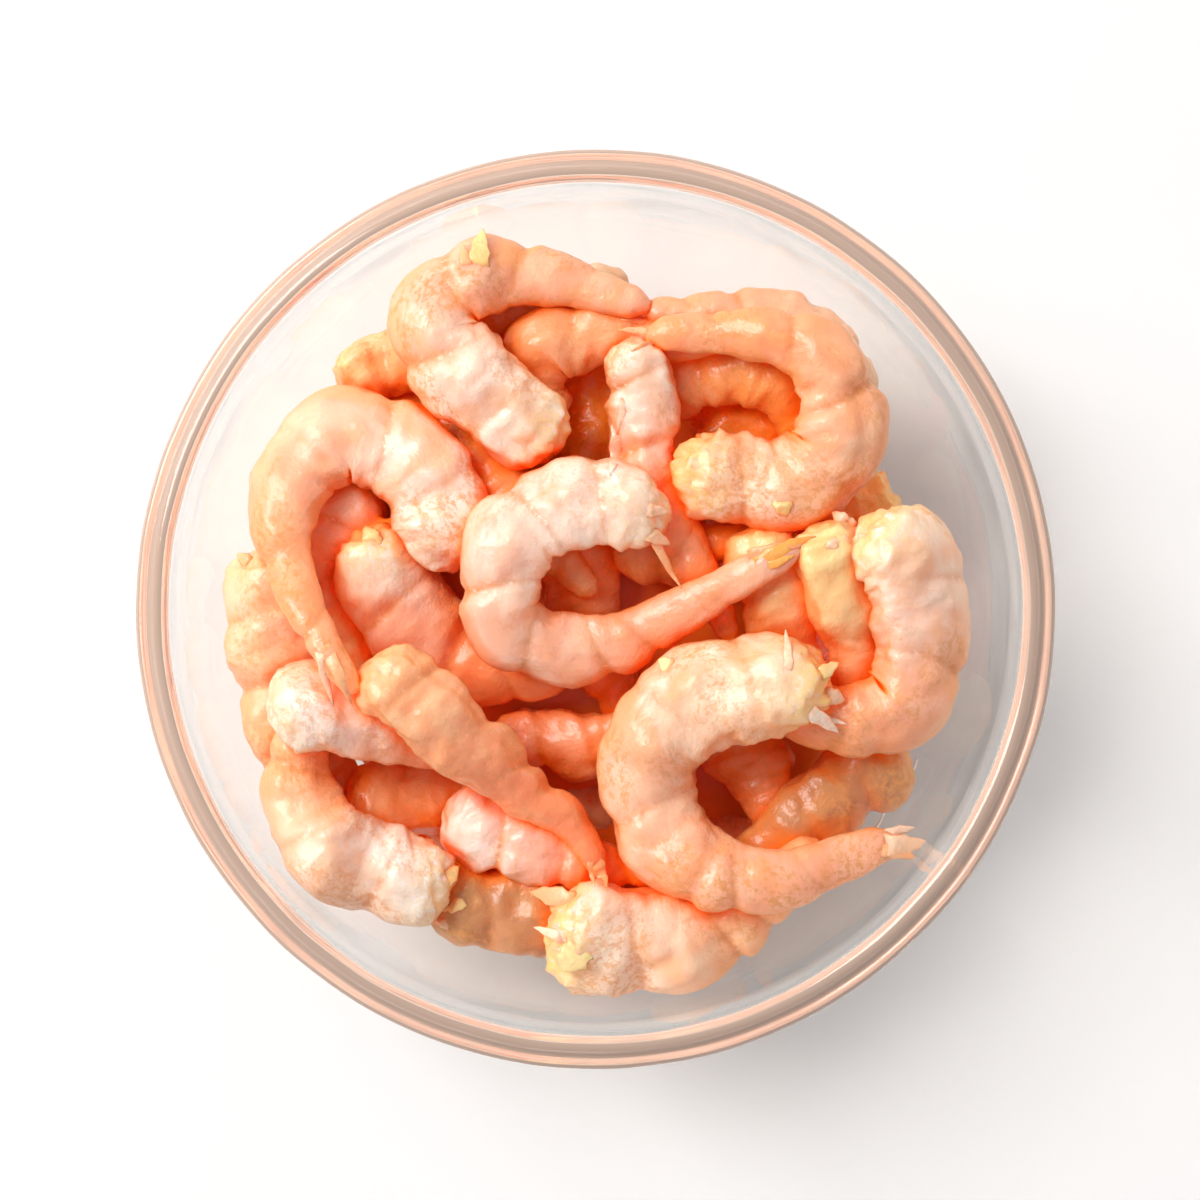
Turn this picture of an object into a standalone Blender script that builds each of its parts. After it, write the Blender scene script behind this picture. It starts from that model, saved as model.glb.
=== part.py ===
"""Raw peeled shrimp heaped in a clear glass bowl.

The bowl is one turned piece of pressed glass. The shrimp are peeled, raw and curled, and lie on each
other as they were dropped in. All of them together are one solid: a core that the bowl's inside
shapes, with every shrimp that shows fused on at its true size.

Blender 4.5, metres, +Z up. The origin is the middle of the foot, on the surface the bowl stands on.
Lengths below are in millimetres, with +X to the right and +Y away from the viewer.
"""
import bmesh
import bpy
import math
import numpy as np

MM = 0.001

# The bowl
RIM_RADIUS = 65.0          # outside of the rim bead
BEAD_HEIGHT = 57.0         # top of the outer bead
CREST_HEIGHT = 58.0        # top of the inner crest, the highest point
BEAD_WIDTH = 1.8
BEAD_RISE = 0.9
CREST_WIDTH = 2.9
CREST_RISE = 1.4
RIM_DEPTH = 7.0            # from the crest down to where the rim meets the wall
RIM_SLOPE = 1.2
MOUTH_RADIUS = 60.3        # inside of the wall, just under the rim
MOUTH_HEIGHT = 54.0
FLOOR_HEIGHT = 4.5         # inside of the bottom, above the foot
ROUNDNESS = 2.5            # 2 is an ellipse, more is squarer
WALL_THIN = 2.5            # wall thickness at the mouth
WALL_THICK = 4.0           # wall thickness at the bottom
FOOT_OUTER = 33.0
FOOT_INNER = 29.0
FOOT_RECESS = 1.2
FOOT_SLOPE = 2.0           # run of the slope inside the foot ring
OUTSIDE_START = 0.14       # the outside of the wall, in shares of the quarter turn: under the rim,
OUTSIDE_END = 0.665        # and where it meets the foot ring
OUTSIDE_POINTS = 6
BOWL_STEPS = 56
WALL_POINTS = 8

# The heap
WALL_GAP = 0.9             # clear of the true inner wall, so also of its flat facets
PRESS_IN = 1.5             # how far a shrimp sinks into what it lies on, so that they fuse
SOFT_SHARE = 20            # percent of its width that gives way where it lies on something narrow
BEND_LIMIT = 1 / 24        # how sharply a shrimp can droop along its length, per mm
LEAN_LIMIT = math.radians(32)
LEAN_REACH = 9.0           # length over which the lean evens out
LAY_STATIONS = 121
UNDERSIDE = np.radians(np.linspace(-172, -8, 19))       # angles round a section that can touch
UPPER_SIDE = np.radians(np.linspace(0, 180, 31))
CORE_GAP = 4.0             # core to wall
CORE_EDGE = 16.0           # height of the core's top at its edge
CORE_TOP = 23.0            # height of the core's top in the middle
CORE_STEPS = 24
CURVE_STEPS = 12           # between two points of a middle line

# One shrimp: half of its depth along its length, as a share of the deepest half
STATIONS = (0.00, 0.02, 0.07, 0.16, 0.30, 0.45, 0.60, 0.70, 0.80, 0.90, 0.96, 1.00)
DEPTHS = (0.35, 0.70, 0.93, 1.00, 1.00, 0.94, 0.80, 0.66, 0.55, 0.46, 0.38, 0.12)
THICKNESS = 0.78           # side to side, as a share of the depth
SEGMENTS = 6
SEGMENT_RISE = 0.05        # how far each segment swells and the groove after it sinks
RINGS = 2 * SEGMENTS       # one ring on each segment and one in each groove
SIDES = 8
SIDES_LARGE = 10           # for a shrimp whose half depth is over LARGE
LARGE = 6.3
INNER_LIMIT = 0.85         # the inside of a tight curl stops short of the curl's middle

# The shrimp that show, from the lowest to the topmost: the deepest half of each, then the middle
# line of its body seen from above, from the cut head end to the tail.
SHRIMP = {
    "under_left_top": (5.0, ((-1, 38), (0, 29), (-1, 20), (-4, 11), (-6, 2))),
    "under_ring_left": (5.5, ((-3, 13), (-2, 4), (0, -5), (4, -14), (9, -22))),
    "under_ring_right": (5.5, ((3, 12), (10, 9), (18, 9.5), (27, 14))),
    "inside_left_curl": (5.5, ((-31, 16), (-37, 13.5), (-40, 7), (-38.5, -2), (-34, -10), (-26, -15))),
    "inside_right_curl": (5.0, ((15, 24), (21, 27), (27, 25), (31, 19))),
    "round_right_curl": (5.5, ((9, 29), (14, 34), (21, 35), (27, 32), (30, 25), (29, 16))),
    "inside_low_curl": (6.6, ((17, -13), (21.5, -20), (25, -27), (27, -33.5))),
    "low_right_wall": (6.0, ((45, -21), (39, -24.5), (32, -29), (24, -35), (15, -39))),
    "right_cross": (5.5, ((41.5, 19.5), (37, 15), (31, 11.5), (23, 9.5), (14, 10))),
    "right_inner": (6.0, ((24, 12), (25.5, 4), (28.5, -4), (31.5, -12), (34, -20))),
    "right_outer": (6.0, ((32, 12), (35, 4), (38, -4), (38, -12), (37, -21))),
    "middle_cross": (5.0, ((-15, -18.5), (-6, -19.5), (4, -19.3), (14, -17), (24, -13))),
    "low_wall": (6.0, ((-24, -41.5), (-17, -43), (-9, -44), (2, -44), (12, -41))),
    "upper_cross": (5.6, (
        (-7, 26), (-9.3, 31.5), (-8, 37), (-2.5, 39.7), (5, 39.5), (12, 38.8), (19, 39))),
    "upper_left_wall": (4.8, (
        (-37, 32), (-32.5, 35), (-26.5, 36.5), (-20.5, 35), (-15, 31), (-11, 25))),
    "left_middle": (5.5, ((-21, 26), (-16.5, 20.5), (-12, 14.5), (-6, 8), (0, 2))),
    "upper_right_wall": (5.0, ((38, 28), (35, 34.5), (29, 40), (22, 42.5), (14, 43), (7, 43.5))),
    "left_wall": (6.3, ((-46.3, 8), (-47.2, 0), (-46.3, -8), (-46, -17), (-43, -25), (-37, -31))),
    "low_left_cross": (5.5, ((-36, -27), (-28, -28), (-19, -28), (-10, -30), (0, -35))),
    "left_yellow": (7.3, (
        (-32, 12), (-30, 4), (-25.5, -2.5), (-18.5, -7.5), (-11, -9), (-4, -8), (2, -6))),
    "low_cross": (5.8, ((-21.5, -29), (-15, -32), (-8, -35), (0, -37), (10, -38.5))),
    "low_front": (8.0, ((-6.5, -46.5), (3, -47.5), (12, -47.3), (20, -44), (27, -39), (33, -34))),
    "low_left_curl": (6.8, (
        (-21, -39.3), (-29, -38.6), (-36.3, -35.6), (-41.3, -30.4), (-43, -23.5), (-41, -16), (-35, -11))),
    "left_short": (6.6, (
        (-46.5, -15), (-40.5, -14.3), (-34.5, -15.3), (-28, -17.5), (-21, -20), (-15, -22))),
    "upper_straight": (5.0, ((5.5, 39), (7, 30), (7, 21), (11, 12.5), (16, 4), (20, -5))),
    "right_curl": (7.2, (
        (39, 12), (44.5, 6.5), (46.8, -1), (46.5, -9), (43, -14.7), (35, -16), (26, -13.5), (17, -12))),
    "left_pointed": (5.8, (
        (-33, -8.5), (-25.5, -13.5), (-17.5, -20), (-10, -26.5), (-3.5, -31), (1, -38.5))),
    "upper_left_curl": (6.8, (
        (-5, 24.5), (-12, 28.5), (-18.5, 34), (-22.6, 40.5), (-20.3, 46.2), (-12, 48.4), (-3, 47),
        (8, 43.6))),
    "left_curl": (7.2, (
        (-21.5, 6), (-22.5, 14), (-27.5, 22), (-36, 25), (-43, 20.5), (-45.2, 12), (-43.2, 4),
        (-39.2, -4.5), (-34, -12))),
    "right_ring": (6.8, (
        (12, 21), (19, 19), (27, 18.5), (33.3, 21.5), (35, 28), (32.7, 35), (27, 38.7),
        (17, 39.8), (7, 39.5))),
    "low_right_curl": (7.6, (
        (33, -11.8), (24, -11.3), (15.5, -13.3), (9, -19), (8, -27), (11.5, -34), (19, -38.3),
        (27, -38.8), (35, -36.3), (44, -33))),
    "middle_ring": (6.5, (
        (10, 12.5), (3, 14.8), (-4, 14.6), (-10.5, 11.2), (-13.5, 5), (-12.5, -2), (-6, -5.5),
        (3, -5), (12, -0.5), (21, 4.7), (30, 9.3))),
}

# The shrimp below them, seen only through the glass: rings of curled ones against the wall.
# Each ring: how many, the radius they lie on, their length, the turn of their curl in degrees.
LOWER_RINGS = ((5, 24.0, 48.0, 140.0), (7, 37.0, 52.0, 150.0))
LOWER_HALF_DEPTH = 5.5
LOWER_RING_COUNT = 8
LOWER_SCATTER = 25.0       # degrees either way along the wall
LOWER_SPREAD = 0.3
SEED = 7


def wall_height(radius):
    """Height of the true inner wall over a radius: a quarter of a squarish ellipse."""
    share = np.clip(radius / MOUTH_RADIUS, 0, 1) ** ROUNDNESS
    return MOUTH_HEIGHT - (MOUTH_HEIGHT - FLOOR_HEIGHT) * (1 - share) ** (1 / ROUNDNESS)


def wall_radius(height):
    """Radius of the true inner wall at a height."""
    share = (MOUTH_HEIGHT - height) / (MOUTH_HEIGHT - FLOOR_HEIGHT)
    return MOUTH_RADIUS * (1 - share ** ROUNDNESS) ** (1 / ROUNDNESS)


def glass_height(x, y):
    """The lowest that anything in the bowl may reach over a place."""
    return wall_height(np.hypot(x, y) + WALL_GAP) + WALL_GAP


def wall_point(angle, inset=0.0):
    """Radius and height on the inner wall; angle 0 is the mouth and a quarter turn is the bottom."""
    power = 2 / ROUNDNESS
    radius = (MOUTH_RADIUS - inset) * math.cos(angle) ** power
    height = MOUTH_HEIGHT - (MOUTH_HEIGHT - FLOOR_HEIGHT - inset) * math.sin(angle) ** power
    return radius, height


def arc(centre, half_width, half_height, start, end, points):
    """Points of an elliptical arc, from one angle in degrees to the other."""
    out = []
    for i in range(points):
        angle = math.radians(start + (end - start) * i / (points - 1))
        out.append((centre[0] + half_width * math.cos(angle), centre[1] + half_height * math.sin(angle)))
    return out


def bowl_profile():
    """The bowl's section, from the middle of its inside up over the rim and down its outer side."""
    inside = [wall_point(math.radians(90 * (1 - i / WALL_POINTS))) for i in range(1, WALL_POINTS)]
    crest_middle = RIM_RADIUS - BEAD_WIDTH - CREST_WIDTH / 2
    bead_middle = RIM_RADIUS - BEAD_WIDTH / 2
    crest = arc((crest_middle, CREST_HEIGHT - CREST_RISE), CREST_WIDTH / 2, CREST_RISE, 180, 20, 4)
    bead = arc((bead_middle, BEAD_HEIGHT - BEAD_RISE), BEAD_WIDTH / 2, BEAD_RISE, 110, 0, 3)
    under_rim = [(RIM_RADIUS, CREST_HEIGHT - RIM_DEPTH + RIM_SLOPE),
                 (RIM_RADIUS - BEAD_WIDTH, CREST_HEIGHT - RIM_DEPTH)]
    outside = []
    for share in np.linspace(OUTSIDE_START, OUTSIDE_END, OUTSIDE_POINTS):
        thickness = WALL_THIN + (WALL_THICK - WALL_THIN) * share
        outside.append(wall_point(math.radians(90 * share), -thickness))
    foot = [(FOOT_OUTER, 0.0), (FOOT_INNER, 0.0), (FOOT_INNER - FOOT_SLOPE, FOOT_RECESS), (0.0, FOOT_RECESS)]
    return [(0.0, FLOOR_HEIGHT)] + inside + crest + bead + under_rim + outside + foot


def centreline(points, samples):
    """A smooth line through the points, cut into even steps: places, side directions and bending."""
    p = np.array(points, float)
    p = np.vstack((2 * p[0] - p[1], p, 2 * p[-1] - p[-2]))
    pieces = []
    for a, b, c, d in zip(p, p[1:], p[2:], p[3:]):
        f = np.linspace(0, 1, CURVE_STEPS, endpoint=False)[:, None]
        cubic = 2 * b + (c - a) * f + (2 * a - 5 * b + 4 * c - d) * f ** 2
        pieces.append((cubic + (3 * b - a - 3 * c + d) * f ** 3) / 2)
    fine = np.vstack(pieces + [p[-2:-1]])
    run = np.concatenate(([0], np.cumsum(np.hypot(*np.diff(fine, axis=0).T))))
    along = np.linspace(0, run[-1], samples)
    place = np.column_stack([np.interp(along, run, fine[:, k]) for k in (0, 1)])
    heading = np.unwrap(np.arctan2(*np.gradient(place, axis=0).T[::-1]))
    side = np.column_stack((-np.sin(heading), np.cos(heading)))
    bending = np.gradient(heading, along)
    return along, place, side, bending


def curled_points(x, y, heading, turn, length):
    """Middle line of a plain curled shrimp: an arc, given by its middle and its middle heading."""
    shares = np.linspace(-0.5, 0.5, 6)
    angle = np.radians(heading + turn * shares)
    step = length / 5
    middle = (angle[1:] + angle[:-1]) / 2
    xs = np.concatenate(([0], np.cumsum(np.cos(middle)) * step))
    ys = np.concatenate(([0], np.cumsum(np.sin(middle)) * step))
    return tuple(zip(x + xs - xs.mean(), y + ys - ys.mean()))


class Pile:
    """The surface that the next shrimp comes down on, as heights over a square grid."""

    REACH = 66
    CELL = 1.0

    def __init__(self):
        count = int(2 * self.REACH / self.CELL) + 1
        self.height = np.full((count, count), -1.0)

    def cells(self, x, y):
        limit = self.height.shape[0] - 1
        column = np.clip(np.rint((x + self.REACH) / self.CELL).astype(int), 0, limit)
        row = np.clip(np.rint((y + self.REACH) / self.CELL).astype(int), 0, limit)
        return row, column

    def under(self, x, y):
        """Height of whatever is higher at a place: the pile so far, or the glass and its gap."""
        return np.maximum(self.height[self.cells(x, y)], glass_height(x, y))

    def add(self, x, y, z):
        np.maximum.at(self.height, self.cells(x, y), z)

    def add_core(self):
        axis = np.linspace(-self.REACH, self.REACH, self.height.shape[0])
        radius = np.hypot(*np.meshgrid(axis, axis))
        inside = radius < wall_radius(CORE_EDGE) - CORE_GAP
        self.height = np.maximum(self.height, np.where(inside, core_top(radius), -1))


def section(half, lean, angles):
    """Points round the leaning oval sections: how far out to the side and how far up each one is."""
    depth = half[:, None] * np.cos(angles)
    height = THICKNESS * half[:, None] * np.sin(angles)
    cosine = np.cos(lean)[:, None]
    sine = np.sin(lean)[:, None]
    return depth * cosine - height * sine, depth * sine + height * cosine


def lay(pile, points, half_depth):
    """Lets one shrimp down on the pile: its middle height and its lean, station by station."""
    along, place, side, bending = centreline(points, LAY_STATIONS)
    half = half_depth * np.interp(along / along[-1], STATIONS, DEPTHS)
    blur = np.exp(-((along[:, None] - along) / LEAN_REACH) ** 2)
    blur = blur / blur.sum(axis=1)[:, None]

    def seen_from_above(out):
        return place[:, :1] + side[:, :1] * out, place[:, 1:] + side[:, 1:] * out

    out, up = section(half, np.zeros_like(half), UNDERSIDE)
    rest = pile.under(*seen_from_above(out)) - up
    slope = (rest * out).sum(axis=1) / (out ** 2).sum(axis=1)
    lean = blur @ np.clip(np.arctan(slope), -LEAN_LIMIT, LEAN_LIMIT)
    out, up = section(half, lean, UNDERSIDE)
    x, y = seen_from_above(out)
    need = np.percentile(pile.under(x, y) - up, 100 - SOFT_SHARE, axis=1) - PRESS_IN
    drop = (along[:, None] - along) ** 2 * BEND_LIMIT / 2
    middle = (need[None, :] - drop).max(axis=1)
    middle = np.maximum(middle, blur @ middle)
    middle = np.maximum(middle, (glass_height(x, y) - up).max(axis=1))
    out, up = section(half, lean, UPPER_SIDE)
    pile.add(*seen_from_above(out), middle[:, None] + up)
    return along, place, side, bending, middle, lean


def shrimp_mesh(name, laid, half_depth, sides, rings):
    """A ball stretched along the laid middle line, blunt at the cut end and pointed at the tail."""
    along, place, side, bending, middle, lean = laid
    bm = bmesh.new()
    bmesh.ops.create_uvsphere(bm, u_segments=sides, v_segments=rings, radius=1)
    for vertex in bm.verts:
        x, y, z = vertex.co
        station = math.acos(max(-1, min(1, z))) / math.pi
        ring = math.hypot(x, y)
        at = station * along[-1]
        swell = 1 - SEGMENT_RISE * math.cos(2 * math.pi * SEGMENTS * station)
        half = half_depth * swell * np.interp(station, STATIONS, DEPTHS)
        bend = np.interp(at, along, bending)
        depth = 0.0
        height = 0.0
        if ring > 1e-4:
            depth = half * x / ring
            height = THICKNESS * half * y / ring
        if depth * bend > 0:
            depth = math.copysign(min(abs(depth), INNER_LIMIT / abs(bend)), depth)
        tilt = np.interp(at, along, lean)
        out = depth * math.cos(tilt) - height * math.sin(tilt)
        up = depth * math.sin(tilt) + height * math.cos(tilt)
        centre = [np.interp(at, along, values) for values in (*place.T, *side.T, middle)]
        vertex.co = (centre[0] + centre[2] * out, centre[1] + centre[3] * out, centre[4] + up)
    bmesh.ops.scale(bm, vec=(MM, MM, MM), verts=bm.verts)
    bmesh.ops.recalc_face_normals(bm, faces=bm.faces)
    mesh = bpy.data.meshes.new(name)
    bm.to_mesh(mesh)
    bm.free()
    return mesh


def turned(name, profile, steps, collection):
    """A solid turned from a section that starts and ends on the axis."""
    mesh = bpy.data.meshes.new(name)
    points = [(radius * MM, 0, height * MM) for radius, height in profile]
    mesh.from_pydata(points, [(i, i + 1) for i in range(len(points) - 1)], [])
    piece = bpy.data.objects.new(name, mesh)
    collection.objects.link(piece)
    screw = piece.modifiers.new("Turn", "SCREW")
    screw.steps = steps
    screw.render_steps = steps
    screw.use_merge_vertices = True
    screw.merge_threshold = 0.00001
    return piece


def material(name, colour, roughness, transmission=0.0):
    """A Principled material with the part's colour and finish."""
    finish = bpy.data.materials.new(name)
    finish.use_nodes = True
    shader = finish.node_tree.nodes["Principled BSDF"]
    shader.inputs["Base Color"].default_value = (*colour, 1)
    shader.inputs["Roughness"].default_value = roughness
    shader.inputs["Transmission Weight"].default_value = transmission
    return finish


def make_bowl(collection):
    """The pressed glass bowl: foot ring, rounded wall, and a rim with a crest and a bead."""
    bowl = turned("glass_bowl", bowl_profile(), BOWL_STEPS, collection)
    bowl.data.materials.append(material("clear_glass", (0.93, 0.94, 0.94), 0.04, 1.0))


def core_top(radius):
    """Height of the core's low dome over a radius."""
    share = np.clip(radius / (wall_radius(CORE_EDGE) - CORE_GAP), 0, 1)
    return CORE_EDGE + (CORE_TOP - CORE_EDGE) * np.cos(share * math.pi / 2)


def make_core(collection):
    """The body of the heap under the shrimp that show, a little inside the glass."""
    bottom = FLOOR_HEIGHT + CORE_GAP
    wall = [(wall_radius(z) - CORE_GAP, z) for z in np.linspace(bottom, CORE_EDGE, 4)]
    top = [(radius, core_top(radius)) for radius in np.linspace(wall[-1][0], 0, 5)]
    return turned("shrimp_heap", top[::-1] + wall[-2::-1] + [(0.0, bottom)], CORE_STEPS, collection)


def lay_all():
    """Every shrimp with where it lies: the rings at the wall first, then the ones that show."""
    pile = Pile()
    draw = np.random.default_rng(SEED)
    laid = []
    for count, radius, length, turn in LOWER_RINGS:
        for i in range(count):
            angle = 360 * (i + LOWER_SPREAD * draw.random()) / count
            x = radius * math.cos(math.radians(angle))
            y = radius * math.sin(math.radians(angle))
            heading = angle + 90 + draw.uniform(-LOWER_SCATTER, LOWER_SCATTER)
            points = curled_points(x, y, heading, turn * draw.choice((-1, 1)), length)
            laid.append((lay(pile, points, LOWER_HALF_DEPTH), LOWER_HALF_DEPTH, SIDES, LOWER_RING_COUNT))
    pile.add_core()
    for half_depth, points in SHRIMP.values():
        sides = SIDES_LARGE if half_depth > LARGE else SIDES
        laid.append((lay(pile, points, half_depth), half_depth, sides, RINGS))
    return laid


def apply_modifiers(piece):
    """Replaces an object's mesh by what its modifiers make of it."""
    evaluated = piece.evaluated_get(bpy.context.evaluated_depsgraph_get())
    mesh = bpy.data.meshes.new_from_object(evaluated)
    piece.modifiers.clear()
    piece.data = mesh


def keep_outer_shell(piece):
    """Fills the hollows that fusing has sealed and drops loose scraps: only the outer skin stays."""
    bm = bmesh.new()
    bm.from_mesh(piece.data)
    bmesh.ops.triangulate(bm, faces=bm.faces)
    shells = []
    left = set(bm.faces)
    while left:
        shell = {left.pop()}
        to_visit = list(shell)
        while to_visit:
            face = to_visit.pop()
            for edge in face.edges:
                for other in edge.link_faces:
                    if len(edge.link_faces) == 2 and other in left:
                        left.remove(other)
                        shell.add(other)
                        to_visit.append(other)
        shells.append(shell)
    shells.sort(key=len)
    for shell in shells[:-1]:
        bmesh.ops.delete(bm, geom=list(shell), context="FACES")
    bm.to_mesh(piece.data)
    bm.free()


def make_heap(collection):
    """The heap: core and shrimp fused into one body."""
    heap = make_core(collection)
    apply_modifiers(heap)
    loose = bpy.data.collections.new("loose_shrimp")
    bpy.context.scene.collection.children.link(loose)
    for number, (laid, half_depth, sides, rings) in enumerate(lay_all()):
        name = f"shrimp_{number}"
        loose.objects.link(bpy.data.objects.new(name, shrimp_mesh(name, laid, half_depth, sides, rings)))
    union = heap.modifiers.new("Fuse", "BOOLEAN")
    union.operation = "UNION"
    union.operand_type = "COLLECTION"
    union.collection = loose
    union.solver = "EXACT"
    bpy.context.view_layer.update()
    apply_modifiers(heap)
    for piece in list(loose.objects):
        bpy.data.objects.remove(piece)
    bpy.data.collections.remove(loose)
    keep_outer_shell(heap)
    heap.data.materials.clear()
    heap.data.materials.append(material("raw_shrimp", (0.93, 0.62, 0.47), 0.3))


for leftover in list(bpy.data.objects):
    bpy.data.objects.remove(leftover)
parts = bpy.data.collections.new("raw_peeled_shrimp")
bpy.context.scene.collection.children.link(parts)
make_bowl(parts)
make_heap(parts)
for piece in parts.objects:
    piece.data.shade_smooth()
    piece.data.set_sharp_from_angle(angle=math.radians(40))
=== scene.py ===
import math

import bpy
import numpy as np
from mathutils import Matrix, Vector, noise
from mathutils.bvhtree import BVHTree


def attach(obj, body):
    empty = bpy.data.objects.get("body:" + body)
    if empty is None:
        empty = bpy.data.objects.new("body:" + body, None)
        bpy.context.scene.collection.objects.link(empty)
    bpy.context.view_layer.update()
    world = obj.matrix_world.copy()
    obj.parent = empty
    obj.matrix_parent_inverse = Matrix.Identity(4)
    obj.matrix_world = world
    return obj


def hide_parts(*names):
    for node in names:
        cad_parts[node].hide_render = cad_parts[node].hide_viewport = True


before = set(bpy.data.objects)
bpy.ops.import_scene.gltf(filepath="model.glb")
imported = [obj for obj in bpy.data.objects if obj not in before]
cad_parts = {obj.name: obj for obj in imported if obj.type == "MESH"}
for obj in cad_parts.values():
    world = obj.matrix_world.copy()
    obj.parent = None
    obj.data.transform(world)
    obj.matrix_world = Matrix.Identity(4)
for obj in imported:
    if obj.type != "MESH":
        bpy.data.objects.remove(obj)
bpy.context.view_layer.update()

MM = 0.001

# The glass bowl
# A prep bowl of clear soda glass, pressed and turned true in one piece: a foot ring, a rounded wall
# that thins towards the mouth, and a rim with a wide inner crest and a narrow outer bead, fire
# polished. It carries everything else.
RIM_RADIUS = 65.0
BEAD_HEIGHT = 57.0
CREST_HEIGHT = 58.0
BEAD_WIDTH = 1.8
BEAD_RISE = 0.9
CREST_WIDTH = 2.9
CREST_RISE = 1.4
RIM_DEPTH = 7.0
RIM_SLOPE = 1.2
MOUTH_RADIUS = 60.3
MOUTH_HEIGHT = 54.0
FLOOR_HEIGHT = 4.5
ROUNDNESS = 2.5
WALL_THIN = 2.5
WALL_THICK = 4.0
FOOT_OUTER = 33.0
FOOT_INNER = 29.0
FOOT_RECESS = 1.2
FOOT_SLOPE = 2.0
FOOT_ROUND = 1.0
OUTSIDE_START = 0.14
OUTSIDE_END = 0.665
TURN_STEPS = 256
WAVE_LENGTH = 9.0
WAVE_DEPTH = 0.12
GLASS_BENDING = 1.5
GLASS_TINT = (0.97, 0.95, 0.92, 1)
GLASS_SHADOW = (0.86, 0.84, 0.825, 1)

# The top of the rim has a glass of its own, half clear and tinted with the shrimp's colour: a painted
# reflection of the shrimp in the rim
RIM_REFLECTION_TINT = (1.0, 0.71, 0.56, 1)
RIM_CLEARNESS = 0.50
RIM_REFLECTION_MARGIN = 0.3      # how far below the narrow bead's rounding the tint begins
RIM_REFLECTION_START = BEAD_HEIGHT - BEAD_RISE - RIM_REFLECTION_MARGIN


def wall_point(angle, inset=0.0):
    """Radius and height on the inner wall; angle 0 is the mouth and a quarter turn is the bottom."""
    power = 2 / ROUNDNESS
    radius = (MOUTH_RADIUS - inset) * math.cos(angle) ** power
    height = MOUTH_HEIGHT - (MOUTH_HEIGHT - FLOOR_HEIGHT - inset) * math.sin(angle) ** power
    return radius, height


def arc(centre, half_width, half_height, start, end, points):
    """Points of an elliptical arc, from one angle in degrees to the other."""
    out = []
    for angle in np.radians(np.linspace(start, end, points)):
        out.append((centre[0] + half_width * math.cos(angle), centre[1] + half_height * math.sin(angle)))
    return out


def bowl_section():
    """The bowl's section, from the middle of its inside up over the rim and down its outer side."""
    inside = [wall_point(math.radians(90 * (1 - share))) for share in np.linspace(0, 1, 49)[1:-1]]
    crest_middle = RIM_RADIUS - BEAD_WIDTH - CREST_WIDTH / 2
    bead_middle = RIM_RADIUS - BEAD_WIDTH / 2
    crest = arc((crest_middle, CREST_HEIGHT - CREST_RISE), CREST_WIDTH / 2, CREST_RISE, 180, 20, 14)
    bead = arc((bead_middle, BEAD_HEIGHT - BEAD_RISE), BEAD_WIDTH / 2, BEAD_RISE, 130, 0, 10)
    under_rim = arc((RIM_RADIUS - RIM_SLOPE, CREST_HEIGHT - RIM_DEPTH + RIM_SLOPE),
                    RIM_SLOPE, RIM_SLOPE, 0, -60, 5)
    outside = []
    for share in np.linspace(OUTSIDE_START, OUTSIDE_END, 36):
        thickness = WALL_THIN + (WALL_THICK - WALL_THIN) * share
        outside.append(wall_point(math.radians(90 * share), -thickness))
    foot = arc((FOOT_OUTER - FOOT_ROUND, FOOT_ROUND), FOOT_ROUND, FOOT_ROUND, 0, -90, 5)
    foot += arc((FOOT_INNER + FOOT_ROUND, FOOT_ROUND), FOOT_ROUND, FOOT_ROUND, -90, -150, 4)
    recess = [(FOOT_INNER - FOOT_SLOPE, FOOT_RECESS), (0.0, FOOT_RECESS)]
    return [(0.0, FLOOR_HEIGHT)] + inside + crest + bead + under_rim + outside + foot + recess


def turned(name, section, steps):
    """A solid turned about the upright axis from a section in millimetres."""
    mesh = bpy.data.meshes.new(name)
    points = [(radius * MM, 0, height * MM) for radius, height in section]
    mesh.from_pydata(points, [(i, i + 1) for i in range(len(points) - 1)], [])
    piece = bpy.data.objects.new(name, mesh)
    bpy.context.scene.collection.objects.link(piece)
    screw = piece.modifiers.new("Turn", "SCREW")
    screw.steps = steps
    screw.render_steps = steps
    screw.use_merge_vertices = True
    screw.merge_threshold = 0.00001
    screw.use_smooth_shade = True
    return piece


def add_node(tree, kind, **sockets):
    """A shader node with its sockets set, by value or by a link from another node's output."""
    made = tree.nodes.new(kind)
    for label, value in sockets.items():
        socket = made.inputs[label.replace("_", " ")]
        if isinstance(value, bpy.types.NodeSocket):
            tree.links.new(value, socket)
        else:
            socket.default_value = value
    return made


def new_material(name):
    """A new node material, with its tree and its shader."""
    finish = bpy.data.materials.new(name)
    finish.use_nodes = True
    return finish, finish.node_tree, finish.node_tree.nodes["Principled BSDF"]


def clear_glass(name, colour, clearness):
    """Clear glass; it lets most of the light through to what it holds and stands on."""
    finish, tree, glass = new_material(name)
    glass.inputs["Base Color"].default_value = colour
    glass.inputs["Roughness"].default_value = 0.0
    glass.inputs["IOR"].default_value = GLASS_BENDING
    glass.inputs["Transmission Weight"].default_value = clearness
    path = add_node(tree, "ShaderNodeLightPath")
    shade = add_node(tree, "ShaderNodeBsdfTransparent", Color=GLASS_SHADOW)
    either = add_node(tree, "ShaderNodeMixShader", Fac=path.outputs["Is Shadow Ray"])
    tree.links.new(glass.outputs["BSDF"], either.inputs[1])
    tree.links.new(shade.outputs["BSDF"], either.inputs[2])
    tree.links.new(either.outputs["Shader"], tree.nodes["Material Output"].inputs["Surface"])
    return finish


def made_real(piece):
    """Turns the modifiers of a piece into plain mesh, so that its faces can be told apart."""
    view = piece.evaluated_get(bpy.context.evaluated_depsgraph_get())
    mesh = bpy.data.meshes.new_from_object(view)
    piece.modifiers.clear()
    piece.data = mesh


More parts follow.
